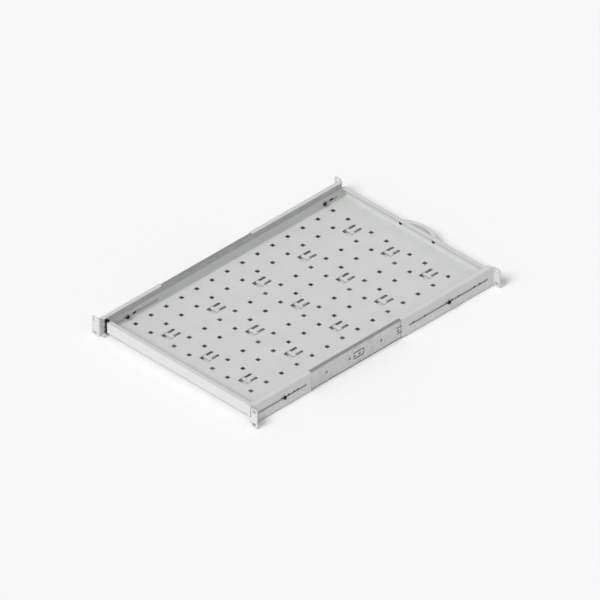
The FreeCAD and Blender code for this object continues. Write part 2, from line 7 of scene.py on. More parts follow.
import bmesh
import bpy
from bpy.props import FloatProperty, FloatVectorProperty, IntProperty, PointerProperty
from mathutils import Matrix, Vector

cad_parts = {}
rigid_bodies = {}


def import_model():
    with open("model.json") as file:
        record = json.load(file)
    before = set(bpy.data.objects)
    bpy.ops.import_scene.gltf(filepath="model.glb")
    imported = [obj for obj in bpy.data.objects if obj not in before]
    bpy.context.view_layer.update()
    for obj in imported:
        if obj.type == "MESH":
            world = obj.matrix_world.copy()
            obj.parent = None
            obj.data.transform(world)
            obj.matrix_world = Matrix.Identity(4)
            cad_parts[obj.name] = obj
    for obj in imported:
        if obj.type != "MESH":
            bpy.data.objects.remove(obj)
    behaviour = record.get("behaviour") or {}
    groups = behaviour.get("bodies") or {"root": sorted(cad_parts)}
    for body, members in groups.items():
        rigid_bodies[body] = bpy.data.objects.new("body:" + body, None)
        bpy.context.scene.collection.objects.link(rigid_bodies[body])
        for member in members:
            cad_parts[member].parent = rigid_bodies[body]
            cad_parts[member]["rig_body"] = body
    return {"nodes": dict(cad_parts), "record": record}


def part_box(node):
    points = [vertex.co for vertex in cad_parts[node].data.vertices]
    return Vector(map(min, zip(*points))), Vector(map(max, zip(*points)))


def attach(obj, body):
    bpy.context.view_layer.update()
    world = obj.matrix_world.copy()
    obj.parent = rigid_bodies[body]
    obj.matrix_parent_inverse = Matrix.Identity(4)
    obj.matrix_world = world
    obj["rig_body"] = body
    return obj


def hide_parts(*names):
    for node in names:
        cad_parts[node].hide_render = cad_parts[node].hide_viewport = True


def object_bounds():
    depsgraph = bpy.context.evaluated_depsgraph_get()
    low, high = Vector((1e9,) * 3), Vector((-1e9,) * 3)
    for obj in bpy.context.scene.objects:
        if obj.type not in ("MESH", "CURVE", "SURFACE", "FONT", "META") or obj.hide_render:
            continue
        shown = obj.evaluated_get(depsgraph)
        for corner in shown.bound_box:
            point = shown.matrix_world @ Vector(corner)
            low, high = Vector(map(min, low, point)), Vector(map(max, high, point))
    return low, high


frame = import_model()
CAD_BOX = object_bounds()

bl_info = {
    "name": "Sliding Rack Shelf",
    "version": (1, 0, 0),
    "blender": (4, 5, 0),
    "location": "View3D > Sidebar > Rack Shelf",
    "description": "Finishes, fixings and ball rows of a perforated sliding rack shelf",
    "category": "Object",
}

X, Y, Z = range(3)
SIDES = {"right": 1, "left": -1}
MERGE_DISTANCE = 0.000002

# Corners round a full circle
ROUND_CORNERS = 48
THREAD_CORNERS = 24
GROOVE_CORNERS = 24
POCKET_CORNERS = 16
NUT_CORNERS = 6
BALL_SUBDIVISIONS = 2

# Segments across a rounded edge
HEAD_SEGMENTS = 7
BEND_SEGMENTS = 3
WASHER_SEGMENTS = 2

# How squarely a face has to look along an axis to be picked by it, how sharp an edge has to be, and the
# angle up to which shading runs smoothly over an edge
SQUARE = 0.99
SHARP_ANGLE = math.radians(60)
SMOOTH_ANGLE = math.radians(35)

# Share of a screw head's diameter by which its flat top is inset, what its recess keeps of its span and
# width at the bottom, and the share of the head's radius at which its rim begins
HEAD_INSET = 0.06
RECESS_BOTTOM = (0.45, 0.7, 1)
RIM_START = 0.8

BUFFER_GROOVES = 3

# Turns that a thread is wound past each end before it is cut, uneven so that no corner lies in the cut
SPARE_TURNS = 2 + 1 / 120

# One turn of a thread, from crest to crest, as steps: outwards in its depth, and along in its pitch
THREAD_PROFILE = ((0, 1 / 8), (-1, 5 / 16), (0, 1 / 4), (1, 5 / 16))

# Turns of a piece that stands along +Z, so that its top faces the way that is named
FACE_RIGHT = (0, math.radians(90), 0)
FACE_LEFT = (0, math.radians(-90), 0)
FACE_REAR = (math.radians(-90), 0, 0)
QUARTER_TURN = (0, 0, math.radians(90))

# Levels between which most of a noise lies
NOISE_RANGE = (0.3, 0.7)

# Noise level at which marks begin without any cover, how far a full cover lowers it, and the range over
# which a mark fades in
MARK_LEVEL, MARK_REACH, MARK_FADE = 0.8, 0.6, 0.15
MARK_DISTORTION = 0.8

# Scale of a coat's mottling beside that of its grains, and of rolled grain along the slides
MOTTLE_SHARE = 0.03
GRAIN_STRETCH = (1, 0.012, 1)

# How square a rounded normal is to its face where an edge begins, and where it is full
EDGE_START, EDGE_FULL = 0.995, 0.86
EDGE_SAMPLES = 6

# Colour sockets of a Mix node
MIX_MASK, MIX_FIRST, MIX_SECOND, MIX_RESULT = 0, 6, 7, 2

# Elevation at which all three axes look equally long
ISOMETRIC_ELEVATION = math.degrees(math.asin(1 / math.sqrt(3)))
LAMP_DISTANCE = 3
CLIP_FACTOR = 10
FLOOR_ROUGHNESS = 0.9

COATED_NODES = ("tray", "handle", "front_bracket_left", "front_bracket_right",
                "rear_bracket_left", "rear_bracket_right")
MEMBER_NODES = tuple(f"{member}_member_{side}" for member in ("outer", "middle", "inner") for side in SIDES)


# Sizes read from the packed parts

def span(node, axis):
    low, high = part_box(node)
    return high[axis] - low[axis]


def middle(node, axis):
    low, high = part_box(node)
    return (low[axis] + high[axis]) / 2


def side_reach(node):
    """How near to the shelf's middle plane a two-sided node begins, and how far out it ends."""
    reach = [abs(corner.co.x) for corner in frame["nodes"][node].data.vertices]
    return min(reach), max(reach)


def end_depths(node, diameter):
    """Depths of the first and the last round piece of a node."""
    low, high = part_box(node)
    return low.y + diameter / 2, high.y - diameter / 2


# Settings

def length(label, about, value):
    return FloatProperty(name=label, description=about, default=value, min=0, precision=5, unit="LENGTH")


def share(label, about, value):
    return FloatProperty(name=label, description=about, default=value, min=0, max=1, subtype="FACTOR")


def angle(label, about, degrees):
    return FloatProperty(name=label, description=about, default=math.radians(degrees), unit="ROTATION")


def colour(label, about, value):
    return FloatVectorProperty(name=label, description=about, default=value, min=0, max=1, subtype="COLOR")


def strength(label, about, value):
    return FloatProperty(name=label, description=about, default=value, min=0)


class FixingSizes(bpy.types.PropertyGroup):
    """Sizes of the screws, washers, nuts and buffers"""
    screw_shank: length("Screw Shank", "Diameter of the clamp screws and tray bolts", 0.005)
    screw_pitch: length("Screw Pitch", "Thread pitch of the clamp screws and tray bolts", 0.0008)
    handle_shank: length("Handle Shank", "Diameter of the handle's screws", 0.004)
    handle_pitch: length("Handle Pitch", "Thread pitch of the handle's screws", 0.0007)
    thread_depth: share("Thread Depth", "Share of its pitch that a thread is deep", 0.61)
    handle_head: length("Handle Head", "Height of the handle screws' heads", 0.0026)
    head_rounding: share("Head Rounding", "Share of a head's height that is rounded off", 0.62)
    recess_span: share("Recess Span", "Share of a head's diameter that its cross recess spans", 0.52)
    recess_width: share("Recess Width", "Share of a head's diameter that one arm is wide", 0.13)
    recess_depth: share("Recess Depth", "Share of a head's height that the recess is deep", 0.6)
    tip_chamfer: length("Tip Chamfer", "Chamfer at the tip of each thread", 0.0005)
    washer_bore_gap: length("Washer Bore Gap", "Room in a washer's bore around its screw", 0.00015)
    washer_edge: length("Washer Edge", "Rounding of a washer's edges", 0.00015)
    nut_face: share("Nut Face", "Share of a nut's corner span that is left flat on its faces", 0.82)
    nut_chamfer_angle: angle("Nut Chamfer Angle", "Slope of a nut's turned corners", 30)
    nut_countersink: length("Nut Countersink", "Widening of a nut's bore at its faces", 0.0003)
    buffer_edge: length("Buffer Edge", "Rounding of a buffer's edges", 0.0008)
    buffer_groove: length("Buffer Groove", "Diameter of the grooves across a buffer's face", 0.0018)


class SlideSizes(bpy.types.PropertyGroup):
    """Sizes of the ball cages and the rows of balls in the slides"""
    ball: length("Ball", "Diameter of the balls", span("outer_balls_right", X))
    balls_per_race: IntProperty(name="Balls per Race", description="Balls in one row", default=15, min=1)
    cage_sheet: length("Cage Sheet", "Thickness of the cages", 0.0004)
    cage_bend: length("Cage Bend", "Outside radius of the cages' bends", 0.0009)
    pocket_gap: length("Pocket Gap", "Room in a pocket around its ball", 0.0001)


class FinishColours(bpy.types.PropertyGroup):
    """Colours of the finishes"""
    coat: colour("Coat", "Light grey powder coat of the sheet metal", (0.67, 0.68, 0.67))
    coat_shade: colour("Coat Shade", "Slightly deeper tone in the coat's mottling", (0.64, 0.65, 0.64))
    # Painted shade: a dark colour laid along every edge of the sheet so that the edges read as dark outlines.
    # It is not a colour that the coat has.
    painted_edge_shade: colour("Painted Edge Shade", "Thin coat along the edges of the sheet", (0.25, 0.255, 0.26))
    zinc: colour("Zinc", "Bright zinc of the slide members", (0.60, 0.605, 0.61))
    zinc_stain: colour("Zinc Stain", "Duller patches in the zinc", (0.42, 0.422, 0.425))
    cage: colour("Cage", "Bare steel of the ball cages", (0.50, 0.50, 0.49))
    ball: colour("Ball", "Polished steel of the balls", (0.66, 0.66, 0.67))
    grease: colour("Grease", "Thin film of grease on the balls and cages", (0.36, 0.31, 0.22))
    black: colour("Black Screw", "Blackened steel of the screws", (0.022, 0.023, 0.026))
    black_worn: colour("Worn Rim", "Steel that shows where a screw's rim is rubbed", (0.15, 0.15, 0.15))
    rubber: colour("Rubber", "Black rubber of the buffers", (0.020, 0.020, 0.021))
    rubber_bloom: colour("Rubber Bloom", "Grey bloom on the rubber", (0.075, 0.075, 0.078))


class StageSettings(bpy.types.PropertyGroup):
    """Camera, floor and light"""
    azimuth: angle("Azimuth", "Turn of the camera about the shelf, from the front", 225)
    elevation: angle("Elevation", "Height of the camera above the shelf", ISOMETRIC_ELEVATION)
    aim: FloatVectorProperty(name="Aim", description="Point in the middle of the picture", size=3,
                             default=(-0.00165, 0.3446, 0.00015), subtype="TRANSLATION", unit="LENGTH")
    picture_width: length("Picture Width", "Width that the picture takes in at the aim", 1.2387)
    lens: FloatProperty(name="Lens", description="Long lens, for nearly parallel lines", default=1200,
                        min=1, unit="CAMERA")
    floor_size: length("Floor Size", "Side of the floor", 60)
    floor_gap: length("Floor Gap", "Room between the shelf and the floor", 0.0005)
    floor: colour("Floor", "Pale floor", (0.985, 0.985, 0.985))
    sky_high: strength("Sky Overhead", "Strength of the light from overhead", 0.50)
    sky_low: strength("Sky at the Horizon", "Strength of the light from the sides", 0.42)
    key: strength("Key", "Strength of the soft main lamp", 2.1)
    key_azimuth: angle("Key Azimuth", "Direction that the main lamp stands in", 185)
    key_elevation: angle("Key Elevation", "Height of the main lamp", 46)
    key_softness: angle("Key Softness", "Angle that the main lamp takes in", 28)


# Modelling

def activate(piece):
    """Makes one piece the only one selected, so that the next operator acts on it alone."""
    bpy.ops.object.select_all(action="DESELECT")
    piece.select_set(True)
    bpy.context.view_layer.objects.active = piece


def named(name):
    """Names the object that was just added, and its mesh."""
    piece = bpy.context.object
    piece.name = piece.data.name = name
    return piece


def add_cylinder(name, diameter, low, high, corners=ROUND_CORNERS):
    """A start for a round piece: it stands on the origin's axis, from low to high."""
    bpy.ops.object.select_all(action="DESELECT")
    bpy.ops.mesh.primitive_cylinder_add(vertices=corners, radius=diameter / 2, depth=high - low,
                                        location=(0, 0, (low + high) / 2))
    bpy.ops.object.transform_apply(location=True, rotation=False, scale=False)
    return named(name)


def add_cone(name, base_diameter, base, tip, corners=ROUND_CORNERS):
    """A cutter that stands on the origin's axis, with its base at one level and its tip at another."""
    bpy.ops.object.select_all(action="DESELECT")
    bpy.ops.mesh.primitive_cone_add(vertices=corners, radius1=base_diameter / 2 if tip > base else 0,
                                    radius2=base_diameter / 2 if tip < base else 0,
                                    depth=abs(tip - base), location=(0, 0, (base + tip) / 2))
    bpy.ops.object.transform_apply(location=True, rotation=False, scale=False)
    return named(name)


def add_block(name, low, high):
    """A start for a square piece, between two corners."""
    bpy.ops.object.select_all(action="DESELECT")
    bpy.ops.mesh.primitive_cube_add(size=1, location=(Vector(low) + Vector(high)) / 2)
    block = named(name)
    block.scale = Vector(high) - Vector(low)
    bpy.ops.object.transform_apply(location=True, rotation=False, scale=True)
    return block


@contextmanager
def editing(piece, element="FACE"):
    """Edit mode on one piece, with nothing selected in it."""
    activate(piece)
    bpy.ops.object.mode_set(mode="EDIT")
    bpy.ops.mesh.select_mode(type=element)
    bpy.ops.mesh.select_all(action="DESELECT")
    yield
    bpy.ops.object.mode_set(mode="OBJECT")


def pick(piece, kind, wanted):
    """Selects, in edit mode, only the faces or the edges that pass a test."""
    bpy.ops.mesh.select_mode(type="FACE" if kind == "faces" else "EDGE")
    bpy.ops.mesh.select_all(action="DESELECT")
    mesh = bmesh.from_edit_mesh(piece.data)
    mesh.normal_update()
    chosen = [part for part in getattr(mesh, kind) if wanted(part)]
    if not chosen:
        raise RuntimeError(f"{piece.name} has no {kind} to select there")
    for part in chosen:
        part.select_set(True)
    bmesh.update_edit_mesh(piece.data)


def bevel(offset, segments):
    """Rounds the selected edges, or chamfers them with one segment."""
    bpy.ops.mesh.bevel(offset=offset, segments=segments, affect="EDGES", clamp_overlap=True)


def combine(piece, tool, operation="DIFFERENCE"):
    """Cuts a piece with another one, keeps what they share, or joins the two."""
    activate(piece)
    boolean = piece.modifiers.new("boolean", "BOOLEAN")
    boolean.object, boolean.operation, boolean.solver = tool, operation, "EXACT"
    bpy.ops.object.modifier_apply(modifier=boolean.name)
    with editing(piece):
        bpy.ops.mesh.select_all(action="SELECT")
        bpy.ops.mesh.remove_doubles(threshold=MERGE_DISTANCE)
        bpy.ops.mesh.dissolve_degenerate(threshold=MERGE_DISTANCE)


def repeat(piece, count, step):
    """Repeats a piece in a row, as one mesh."""
    activate(piece)
    row = piece.modifiers.new("row", "ARRAY")
    row.count, row.use_relative_offset, row.use_constant_offset = count, False, True
    row.constant_offset_displace = step
    bpy.ops.object.modifier_apply(modifier=row.name)


def wind(piece, pitch, turns):
    """Winds a profile round the origin's axis as a thread, and closes its two ends."""
    activate(piece)
    coil = piece.modifiers.new("coil", "SCREW")
    coil.axis, coil.screw_offset, coil.iterations = "Z", pitch, turns
    coil.steps = coil.render_steps = THREAD_CORNERS
    bpy.ops.object.modifier_apply(modifier=coil.name)
    with editing(piece, "VERT"):
        bpy.ops.mesh.select_all(action="SELECT")
        bpy.ops.mesh.remove_doubles(threshold=MERGE_DISTANCE)
        bpy.ops.mesh.fill_holes(sides=0)
        bpy.ops.mesh.select_all(action="SELECT")
        bpy.ops.mesh.normals_make_consistent(inside=False)


def discard(*pieces):
    for piece in pieces:
        mesh = piece.data
        bpy.data.objects.remove(piece)
        bpy.data.meshes.remove(mesh)


def settle(piece, turn=(0, 0, 0), at=(0, 0, 0), mirror=False):
    """Puts a piece's turn and place into its mesh, mirrored to the left-hand side where that is wanted."""
    activate(piece)
    piece.rotation_euler, piece.location = turn, at
    bpy.ops.object.transform_apply(location=True, rotation=True, scale=False)
    if mirror:
        piece.scale = (-1, 1, 1)
        bpy.ops.object.transform_apply(location=False, rotation=False, scale=True)
        with editing(piece):
            bpy.ops.mesh.select_all(action="SELECT")
            bpy.ops.mesh.normals_make_consistent(inside=False)


def smooth(piece):
    """Smooth shading, with the piece's sharp edges kept."""
    activate(piece)
    bpy.ops.object.shade_smooth_by_angle(angle=SMOOTH_ANGLE)


def copy_of(master, name):
    """A copy with a mesh of its own."""
    piece = master.copy()
    piece.data = master.data.copy()
    piece.name = piece.data.name = name
    bpy.context.scene.collection.objects.link(piece)
    return piece


def stand_for(piece, node):
    """The piece takes over a node's place on its body, and its finish."""
    slot = slot_of(node)
    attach(piece, frame["nodes"][node]["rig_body"])
    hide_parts(node)
    dress(piece, slot)


def slot_of(node):
    """The material slot that the record gives a node."""
    for subpart in frame["record"]["subparts"]:
        if subpart["node"] == node:
            return subpart["material_slot"]
    raise RuntimeError(f"the record has no sub-part {node}")


def dress(piece, slot):
    piece.data.materials.clear()
    piece.data.materials.append(finish(slot))


# Shader building

def add_node(tree, kind, inputs=None, **options):
    """Adds a node, sets its options, and fills its inputs with values or with links."""
    node = tree.nodes.new(kind)
    for option, value in options.items():
        setattr(node, option, value)
    for socket, value in (inputs or {}).items():
        if isinstance(value, bpy.types.NodeSocket):
            tree.links.new(value, node.inputs[socket])
        else:
            node.inputs[socket].default_value = value
    return node


def noise(tree, place, scale, detail, distortion=0.0):
    texture = add_node(tree, "ShaderNodeTexNoise", {"Vector": place, "Scale": scale, "Detail": detail,
                                                    "Distortion": distortion})
    return texture.outputs["Fac"]


def spread(tree, value, from_low, from_high, to_low, to_high):
    """Maps a value that varies over the surface to another range, and stops at its ends."""
    limits = {"Value": value, "From Min": from_low, "From Max": from_high,
              "To Min": to_low, "To Max": to_high}
    return add_node(tree, "ShaderNodeMapRange", limits).outputs["Result"]


def spread_noise(tree, value, low, high):
    """Maps the levels that a noise mostly keeps to, to another range."""
    return spread(tree, value, *NOISE_RANGE, low, high)


def mix(tree, mask, first, second):
    """A colour between two, each of them a plain colour or a link."""
    first, second = (value if isinstance(value, bpy.types.NodeSocket) else (*value, 1)
                     for value in (first, second))
    node = add_node(tree, "ShaderNodeMix", {MIX_MASK: mask, MIX_FIRST: first, MIX_SECOND: second},
                    data_type="RGBA")
    return node.outputs[MIX_RESULT]


def calculate(tree, operation, first, second):
    node = add_node(tree, "ShaderNodeMath", {0: first, 1: second}, operation=operation)
    return node.outputs["Value"]


def scaled(tree, value, factor):
    return calculate(tree, "MULTIPLY", value, factor)


def new_group(name, inputs, outputs):
    """An empty shader group with named sockets, and its inner inputs and outputs."""
    tree = bpy.data.node_groups.new(name, "ShaderNodeTree")
    for way, sockets in (("INPUT", inputs), ("OUTPUT", outputs)):
        for label, kind in sockets.items():
            tree.interface.new_socket(label, in_out=way, socket_type=f"NodeSocket{kind}")
    return tree, tree.nodes.new("NodeGroupInput").outputs, tree.nodes.new("NodeGroupOutput").inputs


def powder_texture():
    """Fine pebbled surface of a baked powder, and the slow change of tone in it."""
    tree, given, result = new_group("Powder Texture", {"Place": "Vector", "Grains": "Float"},
                                    {"Height": "Float", "Mottle": "Float"})
    tree.links.new(noise(tree, given["Place"], given["Grains"], detail=2), result["Height"])
    slow = noise(tree, given["Place"], scaled(tree, given["Grains"], MOTTLE_SHARE), detail=3)
    tree.links.new(spread_noise(tree, slow, 0, 1), result["Mottle"])
    return tree


def rolled_grain():
    """Fine lines that run along the slides, as rolling leaves them in strip steel."""
    tree, given, result = new_group("Rolled Grain", {"Place": "Vector", "Lines": "Float"},
                                    {"Height": "Float", "Streak": "Float"})
    drawn = add_node(tree, "ShaderNodeVectorMath", {0: given["Place"], 1: GRAIN_STRETCH},
                     operation="MULTIPLY")
    lines = noise(tree, drawn.outputs["Vector"], given["Lines"], detail=3)
    tree.links.new(lines, result["Height"])
    tree.links.new(spread_noise(tree, lines, 0, 1), result["Streak"])
    return tree


def handling_marks():
    """Scattered patches: Cover sets how much of the surface they take in."""
    tree, given, result = new_group("Handling Marks", {"Place": "Vector", "Marks": "Float", "Cover": "Float"},
                                    {"Mask": "Float"})
    patches = noise(tree, given["Place"], given["Marks"], detail=5, distortion=MARK_DISTORTION)
    start = calculate(tree, "SUBTRACT", MARK_LEVEL, scaled(tree, given["Cover"], MARK_REACH))
    end = calculate(tree, "ADD", start, MARK_FADE)
    tree.links.new(spread(tree, patches, start, end, 0, 1), result["Mask"])
    return tree


def soft_edges():
    """Rounded edges for sheet metal, and a mask of where they are."""
    tree, given, result = new_group("Soft Edges", {"Radius": "Float"}, {"Normal": "Vector", "Edge": "Float"})
    rounded = add_node(tree, "ShaderNodeBevel", {"Radius": given["Radius"]},
                       samples=EDGE_SAMPLES).outputs["Normal"]
    flat = add_node(tree, "ShaderNodeNewGeometry").outputs["True Normal"]
    level = add_node(tree, "ShaderNodeVectorMath", {0: rounded, 1: flat}, operation="DOT_PRODUCT")
    tree.links.new(rounded, result["Normal"])
    tree.links.new(spread(tree, level.outputs["Value"], EDGE_START, EDGE_FULL, 0, 1), result["Edge"])
    return tree


GROUPS = {"Powder Texture": powder_texture, "Rolled Grain": rolled_grain,
          "Handling Marks": handling_marks, "Soft Edges": soft_edges}


def add_group(tree, name, **inputs):
    """Places a shared effect in a material, with its own values."""
    effect = bpy.data.node_groups.get(name) or GROUPS[name]()
    return add_node(tree, "ShaderNodeGroup", inputs, node_tree=effect).outputs


def plain_material(name, **constants):
    """A material with only its shader, whose even values are set."""
    material = bpy.data.materials.new(name)
    material.use_nodes = True
    tree = material.node_tree
    tree.nodes.clear()
    shader = add_node(tree, "ShaderNodeBsdfPrincipled")
    for socket, value in constants.items():
        shader.inputs[socket.replace("_", " ")].default_value = value
    add_node(tree, "ShaderNodeOutputMaterial", {"Surface": shader.outputs["BSDF"]})
    return material, tree, shader


def new_finish(slot, **constants):
    """The start of a slot's finish, and the Object coordinates that its patterns lie on."""
    material, tree, shader = plain_material(f"{slot}_finish", **constants)
    return material, tree, shader, add_node(tree, "ShaderNodeTexCoord").outputs["Object"]


def bump(tree, height, depth, weight, normal=None):
    inputs = {"Height": height, "Distance": depth, "Strength": weight}
    if normal is not None:
        inputs["Normal"] = normal
    return add_node(tree, "ShaderNodeBump", inputs).outputs["Normal"]


def fill(tree, shader, **links):
    """Links what varies over the surface to the shader's sockets."""
    for socket, value in links.items():
        tree.links.new(value, shader.inputs[socket.replace("_", " ")])


# Finishes, by the record's material slots

def coat_finish(colours):
    material, tree, shader, place = new_finish("light_grey_coat")
    powder = add_group(tree, "Powder Texture", Place=place, Grains=900)
    rubbed = add_group(tree, "Handling Marks", Place=place, Marks=7, Cover=0.28)["Mask"]
    edges = add_group(tree, "Soft Edges", Radius=0.001)
    tone = mix(tree, powder["Mottle"], colours.coat, colours.coat_shade)
    fresh_roughness = spread_noise(tree, powder["Height"], 0.40, 0.50)
    fill(tree, shader,
         # The edge mask lays the dark painted edge shade along every edge of the sheet.
         Base_Color=mix(tree, edges["Edge"], tone, colours.painted_edge_shade),
         Roughness=calculate(tree, "ADD", fresh_roughness, scaled(tree, rubbed, -0.07)),
         Normal=bump(tree, powder["Height"], depth=0.0002, weight=0.6, normal=edges["Normal"]))
    return material


def zinc_finish(colours):
    material, tree, shader, place = new_finish("zinc_steel", Metallic=1.0)
    grain = add_group(tree, "Rolled Grain", Place=place, Lines=1400)
    stains = add_group(tree, "Handling Marks", Place=place, Marks=55, Cover=0.5)["Mask"]
    streaked = mix(tree, scaled(tree, grain["Streak"], 0.5), colours.zinc, colours.zinc_stain)
    clean_roughness = spread(tree, grain["Streak"], 0, 1, 0.28, 0.40)
    fill(tree, shader,
         Base_Color=mix(tree, scaled(tree, stains, 0.25), streaked, colours.zinc_stain),
         Roughness=calculate(tree, "ADD", clean_roughness, scaled(tree, stains, 0.10)),
         Normal=bump(tree, grain["Height"], depth=0.00004, weight=0.35))
    return material


def zinc_fixing_finish(colours):
    material, tree, shader, place = new_finish("zinc_fixing", Metallic=1.0)
    pits = add_group(tree, "Powder Texture", Place=place, Grains=3500)
    stains = add_group(tree, "Handling Marks", Place=place, Marks=220, Cover=0.5)["Mask"]
    fill(tree, shader,
         Base_Color=mix(tree, stains, colours.zinc, colours.zinc_stain),
         Roughness=spread_noise(tree, pits["Height"], 0.26, 0.42),
         Normal=bump(tree, pits["Height"], depth=0.00003, weight=0.3))
    return material


def cage_finish(colours):
    material, tree, shader, place = new_finish("cage_steel", Metallic=1.0)
    grain = add_group(tree, "Rolled Grain", Place=place, Lines=2600)
    film = add_group(tree, "Handling Marks", Place=place, Marks=60, Cover=0.6)["Mask"]
    fill(tree, shader,
         Base_Color=mix(tree, scaled(tree, film, 0.5), colours.cage, colours.grease),
         Roughness=spread(tree, grain["Streak"], 0, 1, 0.30, 0.46),
         Normal=bump(tree, grain["Height"], depth=0.00003, weight=0.3))
    return material


def ball_finish(colours):
    material, tree, shader, place = new_finish("ball_steel", Metallic=1.0)
    film = add_group(tree, "Handling Marks", Place=place, Marks=300, Cover=0.55)["Mask"]
    fill(tree, shader,
         Base_Color=mix(tree, scaled(tree, film, 0.35), colours.ball, colours.grease),
         Roughness=spread(tree, film, 0, 1, 0.07, 0.24))
    return material


def rubber_finish(colours):
    material, tree, shader, place = new_finish("buffer_rubber")
    skin = add_group(tree, "Powder Texture", Place=place, Grains=2200)
    bloom = add_group(tree, "Handling Marks", Place=place, Marks=150, Cover=0.5)["Mask"]
    fill(tree, shader,
         Base_Color=mix(tree, scaled(tree, bloom, 0.6), colours.rubber, colours.rubber_bloom),
         Roughness=spread_noise(tree, skin["Height"], 0.58, 0.78),
         Normal=bump(tree, skin["Height"], depth=0.0001, weight=0.4))
    return material


def black_screw_finish(colours):
    material, tree, shader, place = new_finish("black_screw", Metallic=0.85)
    skin = add_group(tree, "Powder Texture", Place=place, Grains=4200)
    rim = add_node(tree, "ShaderNodeAttribute", attribute_name="rim").outputs["Fac"]
    worn = add_group(tree, "Handling Marks", Place=place, Marks=2600, Cover=scaled(tree, rim, 0.5))["Mask"]
    fill(tree, shader,
         Base_Color=mix(tree, worn, colours.black, colours.black_worn),
         Roughness=spread_noise(tree, skin["Height"], 0.34, 0.50),
         Normal=bump(tree, skin["Height"], depth=0.00003, weight=0.35))
    return material


FINISHES = {"light_grey_coat": coat_finish, "zinc_steel": zinc_finish, "cage_steel": cage_finish,
            "ball_steel": ball_finish, "buffer_rubber": rubber_finish, "black_screw": black_screw_finish,
            "zinc_fixing": zinc_fixing_finish}


def finish(slot):
    """The material of one of the record's slots, built when it is first wanted."""
    return bpy.data.materials.get(f"{slot}_finish") or FINISHES[slot](bpy.context.scene.rack_shelf_colours)


# Pieces

def model_thread(diameter, pitch, tip, top):
    """A threaded rod on the origin's axis, with a chamfered tip."""
    sizes = bpy.context.scene.rack_shelf_fixings
    bpy.ops.object.select_all(action="DESELECT")
    bpy.ops.mesh.primitive_plane_add(size=pitch, location=(diameter / 2, 0, tip - SPARE_TURNS * pitch))
    bpy.ops.object.transform_apply(location=True, rotation=False, scale=False)
    rod = named("thread")
    with editing(rod, "VERT"):
        bpy.ops.mesh.select_all(action="SELECT")
        bpy.ops.mesh.merge(type="CENTER")
        for outwards, along in THREAD_PROFILE:
            step = (outwards * sizes.thread_depth * pitch, 0, along * pitch)
            bpy.ops.mesh.extrude_vertices_move(TRANSFORM_OT_translate={"value": step})
    wind(rod, pitch, math.ceil((top - tip) / pitch + 2 * SPARE_TURNS))
    # The odd number of corners keeps the cutter's edges off those of the thread
    ends = add_cylinder("thread_ends", diameter + 2 * sizes.tip_chamfer, tip, top, ROUND_CORNERS + 1)
    with editing(ends):
        pick(ends, "edges", lambda edge: max(end.co.z for end in edge.verts) < tip + sizes.tip_chamfer)
        bevel(2 * sizes.tip_chamfer, 1)
    combine(rod, ends, "INTERSECT")
    discard(ends)
    return rod


def model_screw(name, head, head_height, shank, pitch, shank_length):
    """A pan-head screw with a cross recess, seated at the origin with its head upwards."""
    sizes = bpy.context.scene.rack_shelf_fixings
    depth = sizes.recess_depth * head_height
    screw = add_cylinder(name, head, 0, head_height)
    with editing(screw):
        pick(screw, "edges", lambda edge: min(end.co.z for end in edge.verts) > head_height - MERGE_DISTANCE)
        bevel(sizes.head_rounding * head_height, HEAD_SEGMENTS)
        pick(screw, "faces", lambda face: face.normal.z > SQUARE)
        bpy.ops.mesh.inset(thickness=HEAD_INSET * head)
    thread = model_thread(shank, pitch, -shank_length, (head_height - depth) / 2)
    combine(screw, thread, "UNION")
    discard(thread)
    arm_length, arm_width = sizes.recess_span * head, sizes.recess_width * head
    arm = add_block("recess_arm", (-arm_length / 2, -arm_width / 2, head_height - depth),
                    (arm_length / 2, arm_width / 2, head_height + depth))
    with editing(arm):
        pick(arm, "faces", lambda face: face.normal.z < -SQUARE)
        bpy.ops.transform.resize(value=RECESS_BOTTOM, center_override=(0, 0, head_height - depth))
    for turn in ((0, 0, 0), QUARTER_TURN):
        settle(arm, turn=turn)
        combine(screw, arm)
    discard(arm)
    mark_rim(screw, head)
    smooth(screw)
    return screw


def mark_rim(screw, head):
    """Stores how near each corner of a head is to its rim, which is where the black rubs off first."""
    rim = screw.data.attributes.new("rim", "FLOAT", "POINT")
    for corner, mark in zip(screw.data.vertices, rim.data):
        outwards = 2 * math.hypot(corner.co.x, corner.co.y) / head
        mark.value = max(0, (outwards - RIM_START) / (1 - RIM_START)) if corner.co.z > 0 else 0


def model_washer(name, diameter, bore, thickness):
    """A flat washer with rounded edges, lying on the origin."""
    ring = add_cylinder(name, diameter, 0, thickness)
    with editing(ring):
        pick(ring, "faces", lambda face: abs(face.normal.z) > SQUARE)
        bpy.ops.mesh.inset(thickness=(diameter - bore) / 2)
        bpy.ops.mesh.bridge_edge_loops()
        pick(ring, "edges", lambda edge: edge.calc_face_angle(0) > SHARP_ANGLE)
        bevel(bpy.context.scene.rack_shelf_fixings.washer_edge, WASHER_SEGMENTS)
    smooth(ring)
    return ring


def model_nut(name, corner_span, bore, height):
    """A hexagon nut with turned corners and a countersunk bore, lying on the origin with corners along X."""
    sizes = bpy.context.scene.rack_shelf_fixings
    nut = add_cylinder(name, corner_span, 0, height, NUT_CORNERS)
    settle(nut, turn=QUARTER_TURN)
    turned = sizes.nut_face * corner_span
    countersunk = bore + 2 * sizes.nut_countersink
    reach = 2 * height
    for face, outwards in ((height, 1), (0, -1)):
        slope = outwards * math.tan(sizes.nut_chamfer_angle)
        base = face - outwards * reach
        corners = add_cone("corner_turning", turned + 2 * reach / math.tan(sizes.nut_chamfer_angle), base,
                           face + slope * turned / 2)
        combine(nut, corners, "INTERSECT")
        sink = add_cone("countersink", countersunk + 2 * reach, face + outwards * reach,
                        face - outwards * countersunk / 2)
        combine(nut, sink)
        discard(corners, sink)
    drill = add_cylinder("drill", bore, -reach, reach)
    combine(nut, drill)
    discard(drill)
    smooth(nut)
    return nut


